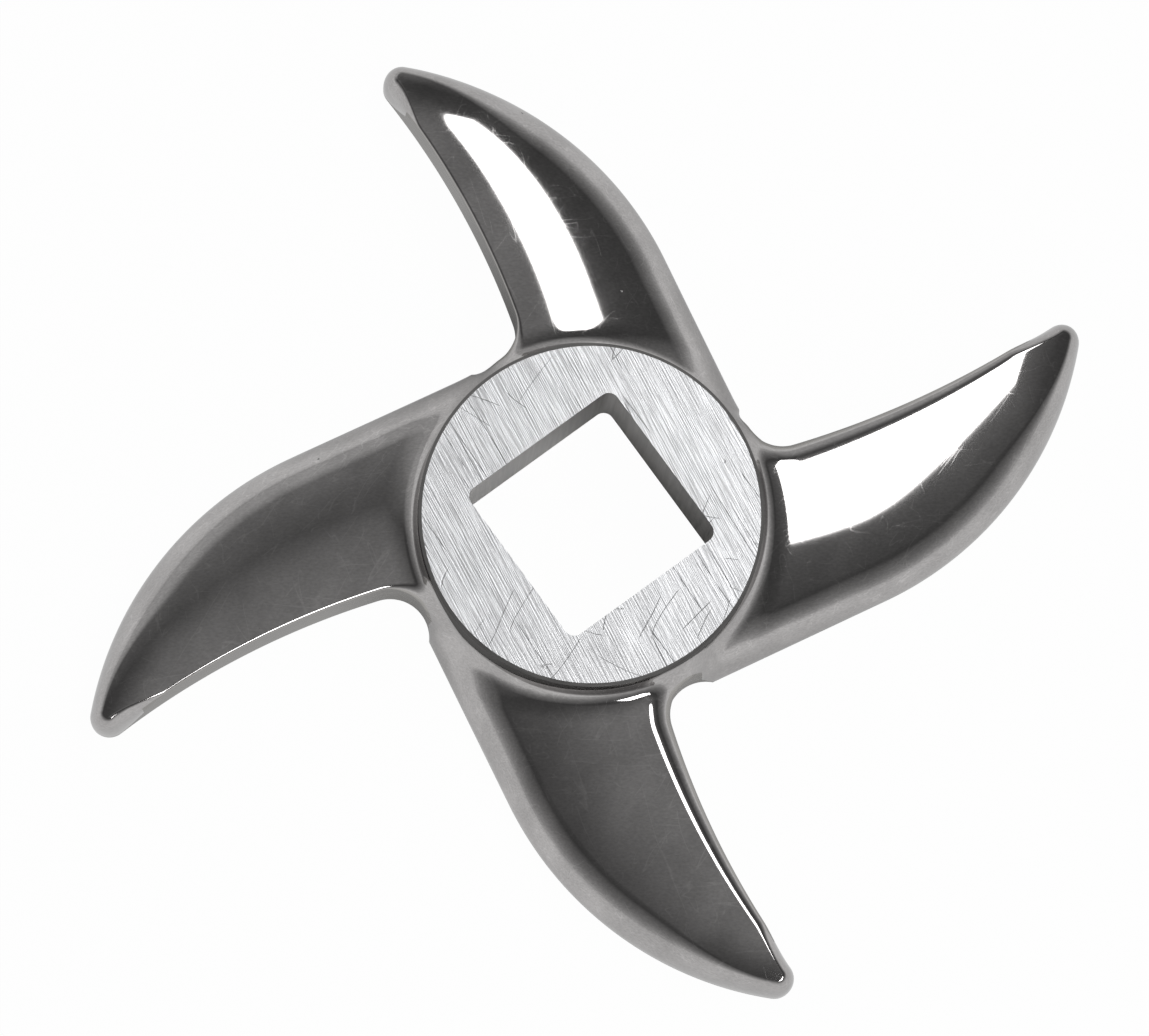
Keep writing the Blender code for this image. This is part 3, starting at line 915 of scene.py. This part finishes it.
def make_camera():
    """Camera that looks down with the photograph's lean, turn and scale, and no shift."""
    right, up = picture_axes()
    lean = right * cos(LEAN_BEARING) + up * sin(LEAN_BEARING)
    toward = Vector((-lean.real * sin(LEAN), -lean.imag * sin(LEAN), cos(LEAN)))
    across = (PICTURE[0] / 2 - AXIS_PIXEL[0]) * right
    down = (PICTURE[1] / 2 - AXIS_PIXEL[1]) * up
    offset = (across - down) / PIXELS_PER_METRE
    data = bpy.data.cameras.new("camera")
    data.sensor_width = SENSOR_MILLIMETRES
    data.lens = PIXELS_PER_METRE * CAMERA_DISTANCE / PICTURE[0] * SENSOR_MILLIMETRES
    data.clip_start, data.clip_end = CLIP_RANGE
    camera = bpy.data.objects.new("camera", data)
    target = Vector((offset.real, offset.imag, 0.0))
    camera.matrix_world = place_facing(target, toward, CAMERA_DISTANCE)
    bpy.context.scene.collection.objects.link(camera)
    bpy.context.scene.camera = camera


def softbox(name, tilts, distance, spreads, roll, radiance):
    """A rectangular area light aimed at the part, as its data."""
    width, height = (2.0 * distance * tan(radians(angle)) for angle in spreads)
    data = bpy.data.lights.new(name, "AREA")
    data.shape = "RECTANGLE"
    data.size = width
    data.size_y = height
    data.energy = radiance * pi * width * height
    light = bpy.data.objects.new(name, data)
    facing = place_facing(Vector(), sky_direction(*tilts), distance)
    light.matrix_world = facing @ Matrix.Rotation(radians(roll), 4, "Z")
    light.visible_camera = False
    bpy.context.scene.collection.objects.link(light)
    return data


def round_corners(data):
    """Let a light fade out at its corners."""
    data.use_nodes = True
    tree = data.node_tree
    place = tree.nodes.new("ShaderNodeNewGeometry").outputs["Parametric"]
    split = add_node(tree, "ShaderNodeSeparateXYZ", {"Vector": place}).outputs
    powers = []
    for name in "XY":
        offset = math_node(tree, "ABSOLUTE", math_node(tree, "SUBTRACT", split[name], 0.5))
        powers.append(math_node(tree, "POWER", offset, CORNER_POWER))
    strength = span(tree, math_node(tree, "ADD", *powers), *CORNER_RANGE, 1.0, 0.0)
    tree.links.new(strength, tree.nodes["Emission"].inputs["Strength"])


def make_world():
    """Tent of light: dim overhead, darkest half way down, pale from there to the horizon."""
    world = bpy.data.worlds.new("studio")
    bpy.context.scene.world = world
    world.use_nodes = True
    tree = world.node_tree
    place = tree.nodes.new("ShaderNodeTexCoord").outputs["Generated"]
    height = add_node(tree, "ShaderNodeSeparateXYZ", {"Vector": place}).outputs["Z"]
    ramp = add_node(tree, "ShaderNodeValToRGB", {"Fac": height})
    pale = span(tree, along(tree, place, PALE_BEARING), *PALE_RANGE, 0.0, PALE_LEVEL)
    whole = span(tree, height, 0.0, PALE_FADE, PALE_HORIZON, 1.0)
    pale = math_node(tree, "MULTIPLY", pale, whole)
    level = math_node(tree, "ADD", ramp.outputs["Color"], pale)
    tree.links.new(level, tree.nodes["Background"].inputs["Color"])
    stops = ramp.color_ramp.elements
    for spare in list(stops)[1:]:
        stops.remove(spare)
    for number, (zenith_angle, level) in enumerate(SKY):
        stop = stops.new(cos(radians(zenith_angle))) if number else stops[0]
        stop.position = cos(radians(zenith_angle))
        stop.color = (level, level, level, 1.0)


def floor_material():
    """Pale floor: white to the camera but for the knife's shadow; in the steel, a painted glow,
    brighter near the axis, that covers the knife's shade beyond a distance.
    """
    material = bpy.data.materials.new("floor")
    material.use_nodes = True
    tree = material.node_tree
    shader = tree.nodes["Principled BSDF"]
    shader.inputs["Base Color"].default_value = (*FLOOR_COLOUR, 1.0)
    shader.inputs["Roughness"].default_value = FLOOR_ROUGHNESS
    shader.inputs["Specular IOR Level"].default_value = 0.0
    path = tree.nodes.new("ShaderNodeLightPath").outputs
    seen = path["Is Camera Ray"]
    mirrored = math_node(tree, "MAXIMUM", path["Is Glossy Ray"], path["Is Transmission Ray"])
    place = object_place(tree)
    away = add_node(tree, "ShaderNodeVectorMath", {0: place}, operation="LENGTH").outputs["Value"]
    # Painted light: in the steel the floor glows, brighter near the axis than far from it.
    painted_sheet = math_node(tree, "MULTIPLY", mirrored, span(tree, away, *PAINTED_SHEET_RANGE, *PAINTED_SHEET_GLOW))
    level = math_node(tree, "MAXIMUM", seen, painted_sheet)
    glow = add_node(tree, "ShaderNodeEmission", {"Color": (1.0, 1.0, 1.0, 1.0), "Strength": level})
    # Painted light: beyond a distance from the axis, reached sooner towards one picture bearing,
    # the glow takes over from the floor's real shade in the steel.
    toward = math_node(tree, "MAXIMUM", along(tree, place, PAINTED_GLOW_BEARING), 0.0)
    reach = math_node(tree, "ADD", away, scaled(tree, toward, PAINTED_GLOW_SHARE))
    glow_over_shade = math_node(tree, "MULTIPLY", mirrored, span(tree, reach, *SHADE_TO_GLOW_RANGE))
    share = math_node(tree, "MAXIMUM", scaled(tree, seen, FLOOR_GLOW), glow_over_shade)
    inputs = {"Fac": share, 1: shader.outputs["BSDF"], 2: glow.outputs["Emission"]}
    blend = add_node(tree, "ShaderNodeMixShader", inputs)
    tree.links.new(blend.outputs["Shader"], tree.nodes["Material Output"].inputs["Surface"])
    return material


def make_floor():
    """Floor that the knife lies on."""
    work = bmesh.new()
    bmesh.ops.create_grid(work, x_segments=1, y_segments=1, size=FLOOR_HALF_SIDE)
    mesh = bpy.data.meshes.new("floor")
    work.to_mesh(mesh)
    work.free()
    mesh.materials.append(floor_material())
    floor = bpy.data.objects.new("floor", mesh)
    floor.location = (0.0, 0.0, -FLOOR_GAP)
    bpy.context.scene.collection.objects.link(floor)


def main():
    """Dress the frame, light it and aim the camera."""
    bpy.context.scene.view_settings.view_transform = "Standard"
    knife = make_knife((polished_steel(), ground_steel(), lined_steel(BROACHED_STEEL),
                        lapped_steel(), lined_steel(DULL_SHADED_STEEL), lined_steel(SATIN_STEEL)))
    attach(knife, "root")
    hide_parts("knife")
    make_floor()
    make_world()
    box = softbox("softbox", BOX_TILT, BOX_DISTANCE, BOX_SPREAD, BOX_ROLL, BOX_RADIANCE)
    round_corners(box)
    softbox("low_light", LOW_TILT, LOW_DISTANCE, LOW_SPREAD, 0.0, LOW_RADIANCE)
    make_camera()


main()
